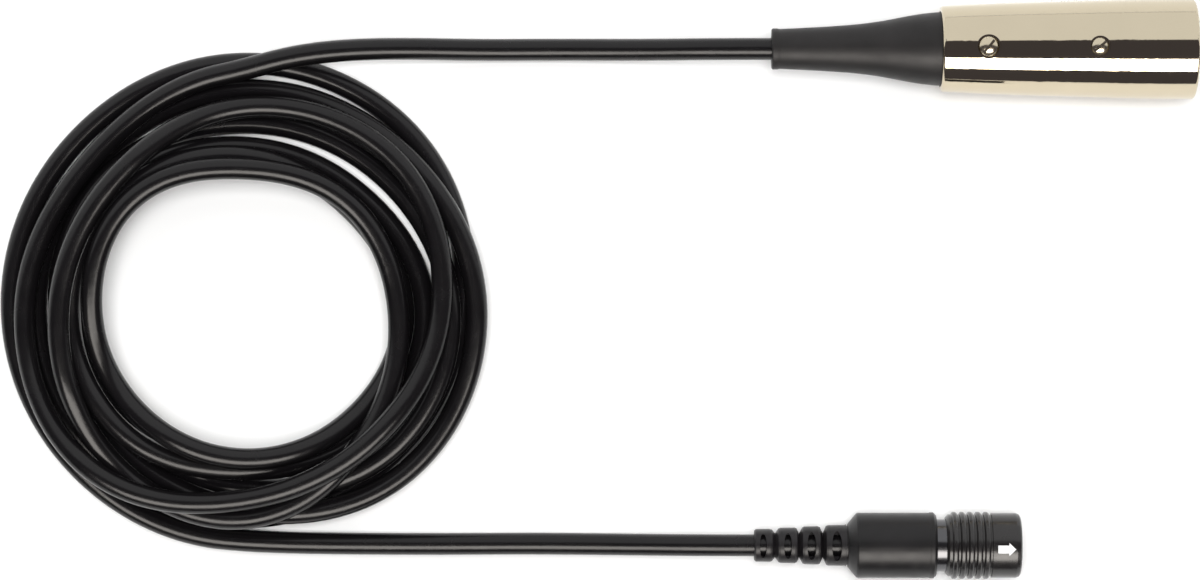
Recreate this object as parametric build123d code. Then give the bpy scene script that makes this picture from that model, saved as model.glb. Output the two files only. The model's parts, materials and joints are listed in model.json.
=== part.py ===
from build123d import *
import math
import os

# Coiled microphone cable: a three-pin metal plug at one end, a small push-pull connector
# with a sprung coupling sleeve at the other, and the cable between them wound in a loose coil.
# Millimetres. +Z is up from the table that everything lies on, +X is the way the plug mates,
# and the origin is under the middle of the plug.

# ---------------------------------------------------------------- driving dimensions
PLUG_LENGTH = 80.2
MOUTH_R = 9.55             # shell radius at its open mouth
PLUG_AXIS = MOUTH_R        # the mouth's rim rests on the table
BOOT_LENGTH = 32.0         # boot outside the shell
BOOT_TIP_R = 3.9
BOOT_COLLAR_R = 6.98       # the part of the boot that the shell grips
BOOT_COLLAR_LENGTH = 4.2
CABLE_R = 2.1
CABLE_BORE_R = 2.15        # holes that the jacket passes through
CORE_R = 0.5               # insulated wires inside the jacket
CORE_CIRCLE_R = 1.0
CORE_STRAIGHT = 1.6        # a core's straight length at each end

FRONT = PLUG_LENGTH / 2
REAR = -FRONT
SHELL_REAR = REAR + BOOT_LENGTH
SHELL_REAR_R = 8.15
CAVITY_R = 8.2             # inside of the mouth
CAVITY_DEPTH = 16.0
REAR_BORE_R = 7.2
INSERT_THICK = 7.0
INSERT_FACE = FRONT - CAVITY_DEPTH
INSERT_BACK = INSERT_FACE - INSERT_THICK
INSERT_R = CAVITY_R - 0.02

PIN_R = 1.19
PIN_ROOT_R = 1.0           # where the insert holds it
PIN_CIRCLE_R = 3.55
PIN_RECESS = 2.0           # pin tips stand this far inside the mouth
PIN_ANGLES = {"1": 180.0, "2": 0.0, "3": 90.0}   # seen from the mouth, from +Y towards +Z
CUP_R = 1.5
CUP_LENGTH = 4.5
CUP_BORE_R = 0.9

INSERT_SCREW_X = 21.3
INSERT_SCREW_HEAD_R = 1.7
CLAMP_SCREW_X = 0.45
CLAMP_SCREW_HEAD_R = 2.0
CLAMP_SPOTFACE_R = 2.3
INSERT_SPOTFACE_R = 2.0
CLAMP_SHANK_R = 1.25
INSERT_SHANK_R = 1.0
SCREW_GAP = 0.05           # round a screw's shank
CLAMP_SEAT = 8.05          # height of the screw heads' seats above the plug's axis
INSERT_SEAT = 8.75
CLAMP_REAR = -3.2          # the clamp's two halves, round the jacket inside the shell
CLAMP_FRONT = 4.8
CLAMP_R = 6.4
CLAMP_WIDTH = 9.0
CLAMP_HEIGHT = 7.0
CLAMP_SPLIT = 1.0          # gap between the halves
LINER_R = 7.1              # insulating sleeve between the clamp and the insert
LINER_BORE_R = 6.7
JACKET_END_X = 6.0

# the push-pull connector, beside the plug and parallel to it
LINK_X = 0.6               # where its own measures along X start
LINK_Y = -94.5             # its axis
LINK_AXIS = 6.4            # height of its axis: the sleeve's ribs rest on the table
LINK_REAR = -43.9
LINK_FRONT = 6.75
SEGMENT_ENDS = ((-43.9, -40.6), (-39.2, -35.9), (-34.6, -31.5), (-30.1, -26.4))
SEGMENT_R = (3.1, 3.35, 3.6, 3.85)
NOTCH_R = 2.3
WINDOW_WIDTHS = (1.35, 1.5, 1.7, 1.9)
WINDOW_LENGTHS = (4.7, 4.9, 5.3, 5.7)
WINDOW_WEB = 1.4           # left between the windows above and below
BODY_REAR = -26.4
BODY_FRONT = -9.3
BODY_R = 6.2
NECK_R = 5.0
SLEEVE_REAR = -7.45
SLEEVE_LIP = 0.45
SLEEVE_R = 6.18
RIB_R = 6.38
GROOVE_R = 5.9
RIB_FIRST = -5.95
RIB_PITCH = 1.52
RIB_COUNT = 5
ARROW_TURN = 4.0           # degrees that the arrow sits round from the top, towards -Y
ARROW_TAIL = 2.1
ARROW_SHOULDER = 4.2
ARROW_TIP = 5.5
ARROW_SHAFT = 1.5
ARROW_HEAD = 2.5
ARROW_THICK = 0.06
BARREL_R = 4.9
SOCKET_BORE_R = 4.25
SOCKET_DEPTH = 5.5
BARREL_FRONT = 6.4
BARREL_REAR = -15.0
BARREL_REAR_BORE_R = 4.0
LINK_FACE = BARREL_FRONT - SOCKET_DEPTH
LINK_INSERT_R = 3.9
LINK_INSERT_REAR = -3.0
LINK_INSERT_SEAT = -4.0
FLANGE_R = 5.35
FLANGE_REAR = -6.7
FLANGE_FRONT = -6.2
SLEEVE_SHOULDER = 1.0
CHAMBER_R = 5.55
SLIDE_GAP = 0.07
SPRING_WIRE_R = 0.17
SPRING_R = 5.14
SPRING_TURNS = 5
CONTACT_COUNT = 3
CONTACT_CIRCLE_R = 2.2
CONTACT_R = 0.75
CONTACT_BORE_R = 0.45
CONTACT_REAR = -7.0
LINK_JACKET_END_X = -20.0
FERRULE_REAR = -22.5
FERRULE_FRONT = -19.5
FERRULE_R = 2.9

# the coil lies flat, left of the plug and the connector
COIL_X = -140.2
COIL_Y = -50.2
COIL_HEIGHT = 16.5
# radii of the coil's outer and inner outline, every 45 degrees from +X
COIL_OUTER = (46.0, 48.4, 49.0, 47.5, 46.3, 45.6, 45.5, 44.7)
COIL_HOLE = (27.2, 26.6, 26.0, 26.6, 27.4, 26.4, 26.1, 26.4)
COIL_EDGE = 5.0            # rounding of the coil's edges

# where the cable isn't coiled: points of its route, x, y, z
ROUTE_TO_PLUG = (
    (REAR, 0.0, PLUG_AXIS),
    (-50.4, 0.0, PLUG_AXIS),
    (-65.4, 0.1, 4.6),
    (-80.4, 0.3, 2.25),
    (-95.9, 0.2, 2.3),
    (-110.4, 0.35, 5.3),
    (-122.4, -0.1, 7.5),
    (-131.9, -1.4, 7.6),
)
ROUTE_TO_LINK = (
    (LINK_X + LINK_REAR, LINK_Y, LINK_AXIS),
    (-53.4, LINK_Y, LINK_AXIS),
    (-68.4, -94.55, 2.6),
    (-85.4, -94.4, 2.2),
    (-103.4, -94.5, 2.3),
    (-118.4, -94.45, 2.2),
    (-130.4, -94.3, 2.35),
)

os.makedirs("parts", exist_ok=True)


# ---------------------------------------------------------------- helpers
def save(name, solid):
    solid.label = name
    export_step(solid, f"parts/{name}.step")


def turned(*profile):
    """A solid of revolution about X from (x, radius) corners."""
    face = Plane.XZ * make_face(Polyline(*profile, close=True))
    return revolve(face, Axis.X, 360)


def rod(x_from, x_to, radius):
    length = x_to - x_from
    return Pos((x_from + x_to) / 2, 0, 0) * Rot(0, 90, 0) * Cylinder(radius, length)


def tube(x_from, x_to, outer, inner):
    return rod(x_from, x_to, outer) - rod(x_from - 1, x_to + 1, inner)


def on_plug(solid):
    return Pos(0, 0, PLUG_AXIS) * solid


def on_link(solid):
    return Pos(LINK_X, LINK_Y, LINK_AXIS) * solid


def around(angle, radius):
    """(y, z) of a place on a circle about the X axis."""
    return radius * math.cos(math.radians(angle)), radius * math.sin(math.radians(angle))


def core_wire(start, end):
    """An insulated wire: along X out of the jacket, slanting, then along X into a contact."""
    bend_from = (start[0] + CORE_STRAIGHT, start[1], start[2])
    bend_to = (end[0] - CORE_STRAIGHT, end[1], end[2])
    path = FilletPolyline(start, bend_from, bend_to, end, radius=2 * CORE_R)
    section = Plane(origin=start, z_dir=(1, 0, 0)) * Circle(CORE_R)
    return sweep(section, path=path)


# ---------------------------------------------------------------- metal plug
def xlr_shell():
    outer = Spline(
        (SHELL_REAR + 0.6, SHELL_REAR_R),
        (CLAMP_SCREW_X, 8.55),
        (16.0, 9.05),
        (30.0, 9.45),
        (FRONT - 0.5, MOUTH_R),
        tangents=((1, 0.05), (1, 0)),
    )
    rear_edge = ThreePointArc(
        (SHELL_REAR, SHELL_REAR_R - 0.6), (SHELL_REAR + 0.18, SHELL_REAR_R - 0.18), outer @ 0
    )
    front_edge = ThreePointArc(outer @ 1, (FRONT - 0.15, MOUTH_R - 0.15), (FRONT, MOUTH_R - 0.5))
    inside = Polyline(
        (FRONT, MOUTH_R - 0.5),
        (FRONT, CAVITY_R + 0.3),
        (FRONT - 0.3, CAVITY_R),
        (INSERT_BACK, CAVITY_R),
        (INSERT_BACK, REAR_BORE_R),
        (SHELL_REAR, REAR_BORE_R),
        (SHELL_REAR, SHELL_REAR_R - 0.6),
    )
    shell = revolve(Plane.XZ * make_face([rear_edge, outer, front_edge, inside]), Axis.X, 360)
    for x, spotface_r, shank_r, seat in (
        (CLAMP_SCREW_X, CLAMP_SPOTFACE_R, CLAMP_SHANK_R, CLAMP_SEAT),
        (INSERT_SCREW_X, INSERT_SPOTFACE_R, INSERT_SHANK_R, INSERT_SEAT),
    ):
        shell -= Pos(x, 0, 6) * Cylinder(shank_r + SCREW_GAP, 12)
        shell -= Pos(x, 0, seat + 2) * Cylinder(spotface_r, 4)
    # window that the mating latch drops into, on the underside
    shell -= Pos(FRONT - 5.5, 0, -MOUTH_R) * Box(3.5, 4.0, 4.0)
    rib = Pos(INSERT_FACE + 4.0, 0, -CAVITY_R + 0.3) * Box(7.0, 2.2, 1.2)
    shell += rib & rod(INSERT_FACE, FRONT, CAVITY_R + 0.4)
    return on_plug(shell)


def screw(x, seat, head_r, head_h, shank_r, shank_length, slot_angle):
    """A slotted screw with a domed head, pointing down."""
    dome_r = (head_r ** 2 + head_h ** 2) / (2 * head_h)
    head = Pos(0, 0, head_h - dome_r) * Sphere(dome_r)
    head &= Pos(0, 0, head_h) * Cylinder(head_r, 2 * head_h)
    head = Pos(0, 0, 0.1) * head
    shank = Pos(0, 0, 0.2 - shank_length / 2) * Cylinder(shank_r, shank_length)
    slot = Rot(0, 0, slot_angle) * Pos(0, 0, head_h) * Box(3 * head_r, 0.5, 1.0)
    return Pos(x, 0, PLUG_AXIS + seat) * (head + shank - slot)


def contact_pin(angle):
    y, z = around(angle, PIN_CIRCLE_R)
    tip = FRONT - PIN_RECESS
    pin = rod(INSERT_FACE, tip - PIN_R, PIN_R)
    pin += Pos(tip - PIN_R, 0, 0) * Sphere(PIN_R)
    pin += rod(INSERT_BACK - 0.5, INSERT_FACE, PIN_ROOT_R)
    cup = rod(INSERT_BACK - CUP_LENGTH, INSERT_BACK, CUP_R)
    cup -= rod(INSERT_BACK - CUP_LENGTH - 1, INSERT_BACK - 1.2, CUP_BORE_R)
    return on_plug(Pos(0, y, z) * (pin + cup))


def xlr_insert():
    body = rod(INSERT_BACK, INSERT_FACE, INSERT_R)
    for angle in PIN_ANGLES.values():
        y, z = around(angle, PIN_CIRCLE_R)
        body -= Pos(0, y, z) * rod(INSERT_BACK - 1, INSERT_FACE + 1, PIN_ROOT_R)
    body -= Pos(INSERT_SCREW_X, 0, INSERT_R - 1.25) * Cylinder(INSERT_SHANK_R + SCREW_GAP, 2.6)
    # groove for the mating connector's key
    body -= Pos(INSERT_FACE, 0, -INSERT_R) * Box(2.0, 2.4, 2.4)
    return on_plug(body)


def strain_boot():
    flare = Spline(
        (REAR + 1.6, BOOT_TIP_R - 0.1),
        (-28.7, 4.3),
        (-19.5, 5.25),
        (-12.7, 6.5),
        (SHELL_REAR, BOOT_COLLAR_R),
    )
    tip = Polyline(
        (REAR, CABLE_BORE_R),
        (REAR, BOOT_TIP_R - 0.2),
        (REAR + 0.2, BOOT_TIP_R),
        (REAR + 1.0, BOOT_TIP_R),
        (REAR + 1.6, BOOT_TIP_R - 0.1),
    )
    collar = Polyline(
        (SHELL_REAR, BOOT_COLLAR_R),
        (SHELL_REAR + BOOT_COLLAR_LENGTH, BOOT_COLLAR_R),
        (SHELL_REAR + BOOT_COLLAR_LENGTH, CABLE_BORE_R),
        (REAR, CABLE_BORE_R),
    )
    return on_plug(revolve(Plane.XZ * make_face([tip, flare, collar]), Axis.X, 360))


def clamp_half(side):
    """Half of the two-part clamp round the jacket, above (+1) or below (-1) it."""
    length = CLAMP_FRONT - CLAMP_REAR
    block = Box(length, CLAMP_WIDTH, CLAMP_HEIGHT)
    middle = (CLAMP_SPLIT + CLAMP_HEIGHT) / 2
    half = rod(CLAMP_REAR, CLAMP_FRONT, CLAMP_R)
    half &= Pos((CLAMP_REAR + CLAMP_FRONT) / 2, 0, side * middle) * block
    half -= rod(CLAMP_REAR - 1, CLAMP_FRONT + 1, CABLE_R)
    if side > 0:
        half -= Pos(CLAMP_SCREW_X, 0, CLAMP_R) * Cylinder(CLAMP_SHANK_R + 0.15, 1.4)
    return on_plug(half)


# ---------------------------------------------------------------- push-pull connector
def strain_relief():
    """Segments of growing size with V notches between them, each with an oval window."""
    outline = [(LINK_REAR, CABLE_BORE_R), (LINK_REAR, SEGMENT_R[0] - 0.3)]
    for (x_from, x_to), radius in zip(SEGMENT_ENDS, SEGMENT_R):
        if x_from > LINK_REAR:
            outline += [(x_from - 0.75, NOTCH_R), (x_from - 0.1, radius - 0.15)]
        outline += [(x_from + 0.3, radius), (x_to - 0.3, radius + 0.05), (x_to + 0.1, radius - 0.1)]
    outline[-1] = (BODY_REAR, SEGMENT_R[-1] + 0.15)
    relief = turned(*outline, (BODY_REAR, CABLE_BORE_R))
    for (x_from, x_to), length, width in zip(SEGMENT_ENDS, WINDOW_LENGTHS, WINDOW_WIDTHS):
        window = extrude(Ellipse(width / 2, length / 2), 5)
        for height in (WINDOW_WEB / 2, -WINDOW_WEB / 2 - 5):
            relief -= Pos((x_from + x_to) / 2, 0, height) * window
    return on_link(relief)


def connector_body():
    body = turned(
        (BODY_REAR, 0),
        (BODY_REAR, 3.75),
        (BODY_REAR + 0.25, 3.75),
        (BODY_REAR + 0.3, 4.15),
        (BODY_REAR + 1.9, BODY_R - 0.15),
        (BODY_REAR + 2.2, BODY_R),
        (BODY_FRONT - 1.4, BODY_R),
        (BODY_FRONT - 1.1, BODY_R + 0.1),
        (BODY_FRONT - 0.5, BODY_R + 0.1),
        (BODY_FRONT, BODY_R - 0.4),
        (BODY_FRONT, 0),
    )
    body -= rod(BODY_REAR - 1, BODY_REAR + 3, CABLE_BORE_R)
    body -= rod(BODY_REAR + 2, BODY_FRONT + 1, BARREL_R)
    return on_link(body)


def inner_barrel():
    barrel = turned(
        (BARREL_REAR, BARREL_REAR_BORE_R),
        (BARREL_REAR, BARREL_R),
        (BODY_FRONT, BARREL_R),
        (BODY_FRONT, NECK_R),
        (FLANGE_REAR, NECK_R),
        (FLANGE_REAR, FLANGE_R),
        (FLANGE_FRONT, FLANGE_R),
        (FLANGE_FRONT, BARREL_R),
        (BARREL_FRONT - 0.2, BARREL_R),
        (BARREL_FRONT, BARREL_R - 0.2),
        (BARREL_FRONT, SOCKET_BORE_R + 0.2),
        (BARREL_FRONT - 0.2, SOCKET_BORE_R),
        (LINK_FACE, SOCKET_BORE_R),
        (LINK_FACE, LINK_INSERT_R + 0.02),
        (LINK_INSERT_SEAT, LINK_INSERT_R + 0.02),
        (LINK_INSERT_SEAT, BARREL_REAR_BORE_R),
    )
    # key groove in the wall of the socket
    barrel -= Pos(BARREL_FRONT - 2.5, 0, SOCKET_BORE_R) * Box(5.2, 1.0, 0.8)
    return on_link(barrel)


def coupling_sleeve():
    corners = [
        (SLEEVE_REAR, NECK_R + SLIDE_GAP),
        (SLEEVE_REAR, NECK_R + 0.4),
        (SLEEVE_REAR + 0.5, GROOVE_R),
    ]
    for number in range(RIB_COUNT):
        middle = RIB_FIRST + number * RIB_PITCH
        corners += [
            (middle - 0.5, GROOVE_R),
            (middle - 0.38, SLEEVE_R),
            (middle - 0.2, RIB_R),
            (middle + 0.3, RIB_R),
            (middle + 0.6, SLEEVE_R),
            (middle + 0.7, GROOVE_R),
        ]
    corners += [
        (middle + 1.0, GROOVE_R),
        (middle + 1.1, SLEEVE_R),
        (LINK_FRONT - 0.9, SLEEVE_R),
        (LINK_FRONT - 0.3, SLEEVE_R - 0.2),
        (LINK_FRONT, SLEEVE_R - 0.6),
        (LINK_FRONT, BARREL_R + SLIDE_GAP),
        (SLEEVE_SHOULDER, BARREL_R + SLIDE_GAP),
        (SLEEVE_SHOULDER, CHAMBER_R),
        (SLEEVE_REAR + SLEEVE_LIP, CHAMBER_R),
        (SLEEVE_REAR + SLEEVE_LIP, NECK_R + SLIDE_GAP),
    ]
    return on_link(turned(*corners))


def alignment_arrow():
    """A thin white arrow on the sleeve that points at the mating end."""
    shape = Polyline(
        (ARROW_TAIL, -ARROW_SHAFT / 2),
        (ARROW_SHOULDER, -ARROW_SHAFT / 2),
        (ARROW_SHOULDER, -ARROW_HEAD / 2),
        (ARROW_TIP, 0.0),
        (ARROW_SHOULDER, ARROW_HEAD / 2),
        (ARROW_SHOULDER, ARROW_SHAFT / 2),
        (ARROW_TAIL, ARROW_SHAFT / 2),
        close=True,
    )
    skin = tube(ARROW_TAIL - 1, ARROW_TIP + 0.3, SLEEVE_R + ARROW_THICK, SLEEVE_R)
    cutter = Pos(0, 0, 4) * extrude(make_face(shape), 4)
    return on_link(Rot(ARROW_TURN, 0, 0) * (skin & cutter))


def sleeve_spring():
    length = SLEEVE_SHOULDER - FLANGE_FRONT - 0.2 - 2 * SPRING_WIRE_R
    helix = Helix(length / SPRING_TURNS, length, SPRING_R)
    section = Plane(origin=helix @ 0, z_dir=helix % 0) * Circle(SPRING_WIRE_R)
    spring = sweep(section, path=helix, is_frenet=True)
    return on_link(Pos(FLANGE_FRONT + 0.1 + SPRING_WIRE_R, 0, 0) * Rot(0, 90, 0) * spring)


def link_contact_angles():
    return [90 + 360 * number / CONTACT_COUNT for number in range(CONTACT_COUNT)]


def contact_insert():
    body = rod(LINK_INSERT_REAR, LINK_FACE, LINK_INSERT_R)
    for angle in link_contact_angles():
        y, z = around(angle, CONTACT_CIRCLE_R)
        body -= Pos(0, y, z) * rod(LINK_INSERT_REAR - 1, LINK_FACE + 1, CONTACT_R)
    return on_link(body)


def socket_contact(angle):
    y, z = around(angle, CONTACT_CIRCLE_R)
    return on_link(Pos(0, y, z) * tube(CONTACT_REAR, LINK_FACE, CONTACT_R, CONTACT_BORE_R))


# ---------------------------------------------------------------- cable
def cable_run(name, points):
    """A round cable along straight runs that are joined by arcs as large as the runs allow."""
    vectors = [Vector(*point) for point in points]
    radii = []
    for before, corner, after in zip(vectors, vectors[1:], vectors[2:]):
        run_in = corner - before
        run_out = after - corner
        half_turn = math.radians(run_in.get_angle(run_out)) / 2
        radii.append(0.45 * min(run_in.length, run_out.length) / math.tan(half_turn))
    path = FilletPolyline(*points, radius=radii)
    start = Plane(origin=path @ 0, z_dir=path % 0)
    run = sweep(start * Circle(CABLE_R), path=path)
    save(name, run)


def outline(radii):
    points = []
    for number, radius in enumerate(radii):
        angle = 2 * math.pi * number / len(radii)
        points.append((COIL_X + radius * math.cos(angle), COIL_Y + radius * math.sin(angle)))
    return make_face(Spline(*points, periodic=True))


def cable_coil():
    coil = extrude(outline(COIL_OUTER), COIL_HEIGHT)
    coil -= extrude(outline(COIL_HOLE), COIL_HEIGHT)
    return fillet(coil.edges().filter_by_position(Axis.Z, COIL_HEIGHT, COIL_HEIGHT), COIL_EDGE)


# ---------------------------------------------------------------- build
save("xlr_shell", xlr_shell())
save("xlr_insert", xlr_insert())
for number, angle in PIN_ANGLES.items():
    save(f"contact_pin_{number}", contact_pin(angle))
insert_screw = screw(INSERT_SCREW_X, INSERT_SEAT, INSERT_SCREW_HEAD_R, 0.75, INSERT_SHANK_R, 3.0, 40)
clamp_screw = screw(CLAMP_SCREW_X, CLAMP_SEAT, CLAMP_SCREW_HEAD_R, 1.1, CLAMP_SHANK_R, 2.2, 50)
save("insert_screw", insert_screw)
save("clamp_screw", clamp_screw)
save("strain_boot", strain_boot())
save("cable_clamp_top", clamp_half(1))
save("cable_clamp_bottom", clamp_half(-1))
liner = tube(CLAMP_FRONT + 0.4, INSERT_BACK - 0.2, LINER_R, LINER_BORE_R)
save("insulating_sleeve", on_plug(liner))
save("jacket_end_plug", on_plug(rod(REAR, JACKET_END_X, CABLE_R)))
for number, angle in PIN_ANGLES.items():
    jacket_end = (JACKET_END_X, *around(angle, CORE_CIRCLE_R))
    cup_mouth = (INSERT_BACK - 2.5, *around(angle, PIN_CIRCLE_R))
    save(f"plug_core_{number}", on_plug(core_wire(jacket_end, cup_mouth)))

save("strain_relief", strain_relief())
save("connector_body", connector_body())
save("inner_barrel", inner_barrel())
save("coupling_sleeve", coupling_sleeve())
save("alignment_arrow", alignment_arrow())
save("sleeve_spring", sleeve_spring())
save("contact_insert", contact_insert())
for number, angle in enumerate(link_contact_angles(), 1):
    save(f"socket_contact_{number}", socket_contact(angle))
    jacket_end = (LINK_JACKET_END_X, *around(angle, CORE_CIRCLE_R))
    contact_end = (CONTACT_REAR, *around(angle, CONTACT_CIRCLE_R))
    save(f"connector_core_{number}", on_link(core_wire(jacket_end, contact_end)))
save("jacket_end_connector", on_link(rod(LINK_REAR, LINK_JACKET_END_X, CABLE_R)))
save("crimp_ferrule", on_link(tube(FERRULE_REAR, FERRULE_FRONT, FERRULE_R, CABLE_R)))

cable_run("cable_run_to_plug", ROUTE_TO_PLUG)
cable_run("cable_run_to_connector", ROUTE_TO_LINK)
save("cable_coil", cable_coil())
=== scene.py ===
import bpy
import json
import math
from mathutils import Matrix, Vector


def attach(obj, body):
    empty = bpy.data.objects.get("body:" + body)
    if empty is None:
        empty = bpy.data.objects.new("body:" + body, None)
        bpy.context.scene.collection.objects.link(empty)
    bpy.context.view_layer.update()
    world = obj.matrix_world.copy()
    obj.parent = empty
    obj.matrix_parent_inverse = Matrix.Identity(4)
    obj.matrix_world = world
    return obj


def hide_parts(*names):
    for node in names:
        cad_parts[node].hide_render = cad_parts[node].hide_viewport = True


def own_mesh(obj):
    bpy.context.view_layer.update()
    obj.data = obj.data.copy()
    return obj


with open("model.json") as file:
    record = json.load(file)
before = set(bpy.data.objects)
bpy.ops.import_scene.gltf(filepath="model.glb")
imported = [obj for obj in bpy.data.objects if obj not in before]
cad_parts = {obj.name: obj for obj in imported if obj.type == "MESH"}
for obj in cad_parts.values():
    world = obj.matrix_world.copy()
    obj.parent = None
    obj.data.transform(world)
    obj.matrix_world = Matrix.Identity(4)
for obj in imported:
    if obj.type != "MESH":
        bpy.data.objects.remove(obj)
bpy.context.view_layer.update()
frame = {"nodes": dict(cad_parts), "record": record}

# Sizes are in metres, in the model's own frame: the table is at z = 0, +X is the way the plug
# mates, and +Y goes from the push-pull connector to the metal plug.

# ---------------------------------------------------------------- camera
CAMERA_HEIGHT = 0.80       # above the plug's axis
PLUG_AXIS = 0.00955
VIEW_WIDTH = 0.228         # what the picture's width covers at the plug's axis
VIEW_CENTRE = (-0.0727, -0.0458)
SENSOR_WIDTH = 36.0        # this one in millimetres, as cameras have it


def add_camera():
    """A camera that looks straight down."""
    data = bpy.data.cameras.new("camera")
    data.sensor_width = SENSOR_WIDTH
    data.lens = SENSOR_WIDTH * CAMERA_HEIGHT / VIEW_WIDTH
    data.clip_start = 0.01
    camera = bpy.data.objects.new("camera", data)
    camera.location = (*VIEW_CENTRE, PLUG_AXIS + CAMERA_HEIGHT)
    bpy.context.collection.objects.link(camera)
    bpy.context.scene.camera = camera


# ---------------------------------------------------------------- cable
CABLE_D = 0.0042
FLOOR_GAP = 0.0001         # under the lowest strands
COIL_CENTRE = (-0.1402, -0.0502)
ROUTE_TO_PLUG = (
    (-0.0401, 0.0, 0.00955),
    (-0.0504, 0.0, 0.00955),
    (-0.0654, 0.0001, 0.0046),
    (-0.0804, 0.0003, 0.00225),
    (-0.0959, 0.0002, 0.0023),
    (-0.1104, 0.00035, 0.0053),
    (-0.1224, -0.0001, 0.0075),
    (-0.1319, -0.0014, 0.0076),
)
ROUTE_TO_LINK = (
    (-0.0433, -0.0945, 0.0064),
    (-0.0534, -0.0945, 0.0064),
    (-0.0684, -0.09455, 0.0026),
    (-0.0854, -0.0944, 0.0022),
    (-0.1034, -0.0945, 0.0023),
    (-0.1184, -0.09445, 0.0022),
    (-0.1304, -0.0943, 0.00235),
)
# The coil's turns from the top one to the lowest, each as its radius in millimetres at eight places
# 45 degrees apart, starting from +Y and going round by way of -X. The last turn is half a turn.
TURNS = (
    (46.3, 41.4, 42.0, 42.0, 35.5, 34.2, 37.4, 41.0),
    (39.3, 35.5, 35.5, 37.8, 39.3, 32.9, 29.3, 28.9),
    (27.5, 30.7, 29.2, 27.8, 27.9, 28.7, 30.3, 28.3),
    (29.8, 32.7, 33.4, 32.5, 29.8, 32.3, 34.5, 31.6),
    (31.6, 33.8, 31.6, 31.0, 33.1, 38.2, 39.3, 37.2),
    (36.3, 36.9, 35.5, 34.4, 37.6, 43.2, 44.3, 42.8),
    (42.6, 40.5, 39.9, 39.0, 39.0, 39.2, 41.6, 46.4),
    (47.7, 45.9, 44.5, 43.2, 43.3),
)
STATIONS = 8
POINTS_PER_STATION = 4
POINTS_PER_TURN = STATIONS * POINTS_PER_STATION
TOUCH = 0.0043             # strands rest this far apart
HUMP_REACH = 3             # points on each side over which a strand climbs to cross another
LAY_PASSES = 10


def between(values, index, part):
    """Catmull-Rom value between two neighbours of a list."""
    last = len(values) - 1
    a, b, c, d = (values[min(max(index + step, 0), last)] for step in (-1, 0, 1, 2))
    cubic = 3 * b - a - 3 * c + d
    square = 2 * a - 5 * b + 4 * c - d
    return b + 0.5 * part * (c - a + part * (square + part * cubic))


def rest_height(radii, heights, index):
    """Lowest height at which a point clears the strands that were laid before it."""
    low = 0.0
    for other in range(index + POINTS_PER_TURN, len(radii), POINTS_PER_TURN):
        apart = abs(radii[index] - radii[other])
        if apart < TOUCH:
            low = max(low, heights[other] + math.sqrt(TOUCH ** 2 - apart ** 2))
    return low


def eased(needs, index):
    """The height needed here, with long slopes up to what is needed nearby."""
    best = 0.0
    for step in range(-HUMP_REACH, HUMP_REACH + 1):
        if 0 <= index + step < len(needs):
            away = max(0, abs(step) - 1) / (HUMP_REACH - 1)
            best = max(best, needs[index + step] * 0.5 * (1 + math.cos(math.pi * away)))
    return best


def smoothed(values):
    """Each value averaged with its neighbours."""
    groups = [values[max(0, index - 1):index + 2] for index in range(len(values))]
    return [sum(group) / len(group) for group in groups]


def coil_radii():
    stations = [radius / 1000 for turn in TURNS for radius in turn]
    radii = []
    for index in range(len(stations) - 1):
        for part in range(POINTS_PER_STATION):
            radii.append(between(stations, index, part / POINTS_PER_STATION))
    return radii + stations[-1:]


def coil_heights(radii):
    """How high the turns lie on each other, above the floor."""
    heights = [0.0] * len(radii)
    for _ in range(LAY_PASSES):
        needs = [rest_height(radii, heights, index) for index in range(len(radii))]
        heights = smoothed([eased(needs, index) for index in range(len(radii))])
    return heights


def coil_points():
    radii = coil_radii()
    middle = Vector(COIL_CENTRE)
    view = Vector(VIEW_CENTRE)
    points = []
    for index, (radius, height) in enumerate(zip(radii, coil_heights(radii))):
        angle = math.pi / 2 + 2 * math.pi * index / POINTS_PER_TURN
        flat = middle + radius * Vector((math.cos(angle), math.sin(angle)))
        z = height + CABLE_D / 2 + FLOOR_GAP
        # the radii hold at the plug's height, and what lies lower is further from the camera
        flat = view + (flat - view) * (1 + (PLUG_AXIS - z) / CAMERA_HEIGHT)
        points.append((*flat, z))
    return points


def add_cable():
    points = list(ROUTE_TO_PLUG) + coil_points() + list(reversed(ROUTE_TO_LINK))
    data = bpy.data.curves.new("cable", "CURVE")
    data.dimensions = "3D"
    spline = data.splines.new("NURBS")
    spline.points.add(len(points) - 1)
    for point, place in zip(spline.points, points):
        point.co = (*place, 1.0)
        point.radius = CABLE_D / 2     # the thickness is here, because a curve's bounds take it in
    spline.order_u = 3
    spline.use_endpoint_u = True
    data.resolution_u = 6
    data.bevel_depth = 1.0
    data.bevel_resolution = 6
    cable = bpy.data.objects.new("cable", data)
    bpy.context.collection.objects.link(cable)
    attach(cable, "assembly")
    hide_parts("cable_run_to_plug", "cable_coil", "cable_run_to_connector")
    return cable


# ---------------------------------------------------------------- spring under the coupling sleeve
SPRING_FROM = -0.0055      # its rear end, which bears on the barrel's flange
SPRING_TO = 0.0015         # its front end, behind the sleeve's shoulder
SPRING_AXIS = (-0.0945, 0.0064)
SPRING_R = 0.00514
SPRING_WIRE_R = 0.00017
SPRING_TURNS = 5
SPRING_STEPS = 20          # points per turn
END_CLOSING = 0.09         # how far the end turns are drawn to the ends, as a share of the length


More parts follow.
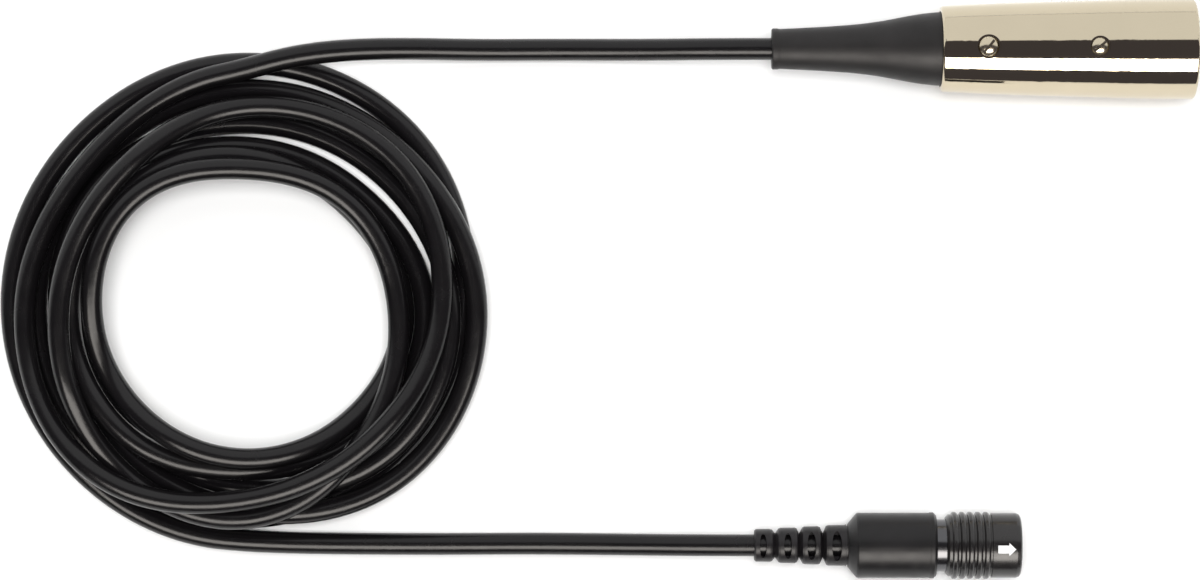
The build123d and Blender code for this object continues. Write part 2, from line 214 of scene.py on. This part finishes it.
def add_spring():
    """A helix of wire with closed end turns, as a mesh, so that it can be squashed."""
    data = bpy.data.curves.new("spring_line", "CURVE")
    data.dimensions = "3D"
    spline = data.splines.new("NURBS")
    count = SPRING_TURNS * SPRING_STEPS
    spline.points.add(count)
    wire_from, wire_to = SPRING_FROM + SPRING_WIRE_R, SPRING_TO - SPRING_WIRE_R
    for index, point in enumerate(spline.points):
        along = index / count
        angle = 2 * math.pi * SPRING_TURNS * along
        advance = along - END_CLOSING * math.sin(2 * math.pi * along)
        point.co = (
            wire_from + (wire_to - wire_from) * advance,
            SPRING_AXIS[0] + SPRING_R * math.sin(angle),
            SPRING_AXIS[1] - SPRING_R * math.cos(angle),
            1.0,
        )
    spline.order_u = 4
    spline.use_endpoint_u = True
    data.resolution_u = 2
    data.bevel_depth = SPRING_WIRE_R
    data.bevel_resolution = 2
    data.use_fill_caps = True
    line = bpy.data.objects.new("spring_line", data)
    spring = bpy.data.objects.new("compression_spring", bpy.data.meshes.new_from_object(line))
    bpy.data.objects.remove(line)
    bpy.context.collection.objects.link(spring)
    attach(spring, "assembly")
    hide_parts("sleeve_spring")
    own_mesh(spring)
    return spring


add_camera()
spring = add_spring()
cable = add_cable()


# ---------------------------------------------------------------- materials
NOISE_LOW = 0.3            # most of a noise texture lies between these two values
NOISE_HIGH = 0.7


class Finish:
    """A node material with a principled shader, built up by the methods below."""

    def __init__(self, name, color, roughness, metallic=0.0):
        self.material = bpy.data.materials.new(name)
        self.material.use_nodes = True
        self.nodes = self.material.node_tree.nodes
        self.links = self.material.node_tree.links
        self.shader = self.nodes["Principled BSDF"]
        self.place = self.nodes.new("ShaderNodeTexCoord").outputs["Object"]
        self.color = color
        self.set("Base Color", (*color, 1.0))
        self.set("Roughness", roughness)
        self.set("Metallic", metallic)

    def set(self, socket, value):
        self.shader.inputs[socket].default_value = value

    def noise(self, size, detail=3.0):
        """Noise whose features are about `size` metres across."""
        texture = self.nodes.new("ShaderNodeTexNoise")
        texture.inputs["Scale"].default_value = 1 / size
        texture.inputs["Detail"].default_value = detail
        self.links.new(self.place, texture.inputs["Vector"])
        return texture.outputs["Fac"]

    def spread(self, value, low, high):
        """Stretches the middle of a noise's range over low to high."""
        node = self.nodes.new("ShaderNodeMapRange")
        node.inputs["From Min"].default_value = NOISE_LOW
        node.inputs["From Max"].default_value = NOISE_HIGH
        node.inputs["To Min"].default_value = low
        node.inputs["To Max"].default_value = high
        self.links.new(value, node.inputs["Value"])
        return node.outputs["Result"]

    def vary_roughness(self, value, low, high):
        self.links.new(self.spread(value, low, high), self.shader.inputs["Roughness"])

    def vary_color(self, value, darker, lighter):
        ramp = self.nodes.new("ShaderNodeValToRGB")
        ends = ((NOISE_LOW, darker), (NOISE_HIGH, lighter))
        for element, (position, factor) in zip(ramp.color_ramp.elements, ends):
            element.position = position
            element.color = (*(min(1.0, factor * part) for part in self.color), 1.0)
        self.links.new(value, ramp.inputs["Fac"])
        self.links.new(ramp.outputs["Color"], self.shader.inputs["Base Color"])

    def bump(self, value, height):
        node = self.nodes.new("ShaderNodeBump")
        node.inputs["Strength"].default_value = 1.0
        node.inputs["Distance"].default_value = height
        self.links.new(value, node.inputs["Height"])
        self.links.new(node.outputs["Normal"], self.shader.inputs["Normal"])


def jacket():
    finish = Finish("cable_jacket", (0.0045, 0.004, 0.0045), 0.26)
    finish.set("Specular IOR Level", 0.3)
    finish.vary_roughness(finish.noise(0.004), 0.22, 0.28)
    finish.bump(finish.noise(0.0012, 2.0), 0.00002)
    return finish.material


def nickel(name, low, high):
    finish = Finish(name, (0.56, 0.495, 0.37), low, metallic=1.0)
    finish.vary_roughness(finish.noise(0.006), low, high)
    finish.vary_color(finish.noise(0.009, 2.0), 0.97, 1.0)
    finish.bump(finish.noise(0.0009, 3.0), 0.0000008)
    return finish.material


def moulded(name, color, rough, grain_size, grain_height, gloss=0.5):
    """Black rubber or plastic out of a mould, with a fine grain."""
    finish = Finish(name, color, rough)
    finish.set("Specular IOR Level", gloss)
    finish.vary_roughness(finish.noise(0.003), rough - 0.05, rough + 0.05)
    finish.vary_color(finish.noise(0.005), 0.85, 1.15)
    finish.bump(finish.noise(grain_size, 2.0), grain_height)
    return finish.material


def metal(name, color, low, high):
    finish = Finish(name, color, low, metallic=1.0)
    finish.vary_roughness(finish.noise(0.002), low, high)
    return finish.material


def plastic(name, color, rough):
    finish = Finish(name, color, rough)
    finish.vary_color(finish.noise(0.002), 0.92, 1.0)
    return finish.material


FINISHES = {
    "cable_jacket": jacket(),
    "bright_nickel": nickel("bright_nickel", 0.04, 0.06),
    "bright_screw": nickel("bright_screw", 0.16, 0.24),
    "insulator_black": moulded("insulator_black", (0.015, 0.015, 0.016), 0.5, 0.0003, 0.000006),
    "contact_silver": metal("contact_silver", (0.85, 0.83, 0.78), 0.15, 0.22),
    "contact_gold": metal("contact_gold", (0.90, 0.68, 0.32), 0.18, 0.25),
    "boot_rubber": moulded("boot_rubber", (0.013, 0.012, 0.012), 0.48, 0.0003, 0.000008, gloss=0.26),
    "clamp_metal": metal("clamp_metal", (0.55, 0.55, 0.54), 0.35, 0.45),
    "core_black": plastic("core_black", (0.02, 0.02, 0.02), 0.35),
    "core_red": plastic("core_red", (0.55, 0.03, 0.03), 0.35),
    "core_white": plastic("core_white", (0.8, 0.8, 0.78), 0.35),
    "relief_rubber": moulded("relief_rubber", (0.009, 0.008, 0.009), 0.36, 0.00025, 0.000006, gloss=0.3),
    "connector_black": moulded(
        "connector_black", (0.008, 0.0075, 0.008), 0.36, 0.0002, 0.000005, gloss=0.27
    ),
    "barrel_metal": metal("barrel_metal", (0.10, 0.10, 0.105), 0.18, 0.24),
    "sleeve_black": moulded("sleeve_black", (0.010, 0.009, 0.009), 0.24, 0.0003, 0.000003),
    "arrow_white": plastic("arrow_white", (0.85, 0.85, 0.84), 0.5),
    "spring_steel": metal("spring_steel", (0.6, 0.6, 0.6), 0.25, 0.3),
}
slots = {part["node"]: part["material_slot"] for part in frame["record"]["subparts"]}
for name, node in frame["nodes"].items():
    node.data.materials.clear()
    node.data.materials.append(FINISHES[slots[name]])
cable.data.materials.append(FINISHES["cable_jacket"])
spring.data.materials.append(FINISHES["spring_steel"])


# ---------------------------------------------------------------- floor and light
FLOOR_SIZE = 6.0
FLOOR_DROP = 0.00005       # below z = 0, so that it doesn't share a face with what lies on it


def add_floor():
    bpy.ops.mesh.primitive_plane_add(size=FLOOR_SIZE, location=(*VIEW_CENTRE, -FLOOR_DROP))
    floor = bpy.context.object
    floor.name = "floor"
    finish = Finish("floor", (0.93, 0.93, 0.92), 0.6)
    finish.vary_color(finish.noise(0.4), 0.985, 1.0)
    floor.data.materials.append(finish.material)


WARM = (1.0, 0.95, 0.89)


def add_softbox(name, tilt, distance, size, power, glossy):
    """An area light over the view's centre, tilted from overhead towards -Y by `tilt` degrees.

    A glossy one makes only the highlights, and one that isn't glossy lights only matt surfaces.
    """
    data = bpy.data.lights.new(name, "AREA")
    data.shape = "RECTANGLE"
    data.size, data.size_y = size
    data.energy = power
    light = bpy.data.objects.new(name, data)
    lean = math.radians(tilt)
    light.location = (
        VIEW_CENTRE[0], VIEW_CENTRE[1] - distance * math.sin(lean), distance * math.cos(lean)
    )
    light.rotation_euler = (lean, 0, 0)
    light.visible_camera = False
    if glossy:
        data.color = WARM
    light.visible_glossy = glossy
    light.visible_diffuse = not glossy
    bpy.context.collection.objects.link(light)


# What stands round the table, by the angle from overhead in degrees, positive on the +Y side:
# a pale wall behind the plug, and darkness overhead and in front.
SURROUND = (
    (-90, (0.078, 0.071, 0.081)),
    (17.3, (0.078, 0.071, 0.081)),
    (18.8, (1.12, 1.12, 1.12)),
    (90, (1.12, 1.12, 1.12)),
)
BACKDROP = (0.86, 0.86, 0.86)


def add_world():
    """Colours the surroundings by their angle from overhead about the X axis."""
    world = bpy.data.worlds.new("studio")
    world.use_nodes = True
    nodes = world.node_tree.nodes
    links = world.node_tree.links
    background = nodes["Background"]
    background.inputs["Strength"].default_value = 1.0
    direction = nodes.new("ShaderNodeTexCoord")
    parts = nodes.new("ShaderNodeSeparateXYZ")
    links.new(direction.outputs["Generated"], parts.inputs["Vector"])
    angle = nodes.new("ShaderNodeMath")
    angle.operation = "ARCTAN2"
    links.new(parts.outputs["Y"], angle.inputs[0])
    links.new(parts.outputs["Z"], angle.inputs[1])
    turn = nodes.new("ShaderNodeMapRange")
    turn.inputs["From Min"].default_value = -math.pi / 2
    turn.inputs["From Max"].default_value = math.pi / 2
    links.new(angle.outputs[0], turn.inputs["Value"])
    ramp = nodes.new("ShaderNodeValToRGB")
    elements = ramp.color_ramp.elements
    for _ in SURROUND[2:]:     # a ramp has two elements to start with
        elements.new(0.5)
    for element, (degrees, color) in zip(elements, SURROUND):
        element.position = (degrees + 90) / 180
        element.color = (*color, 1)
    links.new(turn.outputs["Result"], ramp.inputs["Fac"])
    # the camera itself sees a plain pale backdrop
    rays = nodes.new("ShaderNodeLightPath")
    choice = nodes.new("ShaderNodeMixRGB")
    choice.inputs["Color2"].default_value = (*BACKDROP, 1)
    links.new(rays.outputs["Is Camera Ray"], choice.inputs["Fac"])
    links.new(ramp.outputs["Color"], choice.inputs["Color1"])
    links.new(choice.outputs["Color"], background.inputs["Color"])
    bpy.context.scene.world = world


add_floor()
add_softbox("softbox", tilt=39.2, distance=1.1, size=(1.6, 0.59), power=27, glossy=True)
add_softbox("fill", tilt=0, distance=1.3, size=(0.5, 0.5), power=17, glossy=False)
add_world()
bpy.context.scene.view_settings.view_transform = "Standard"
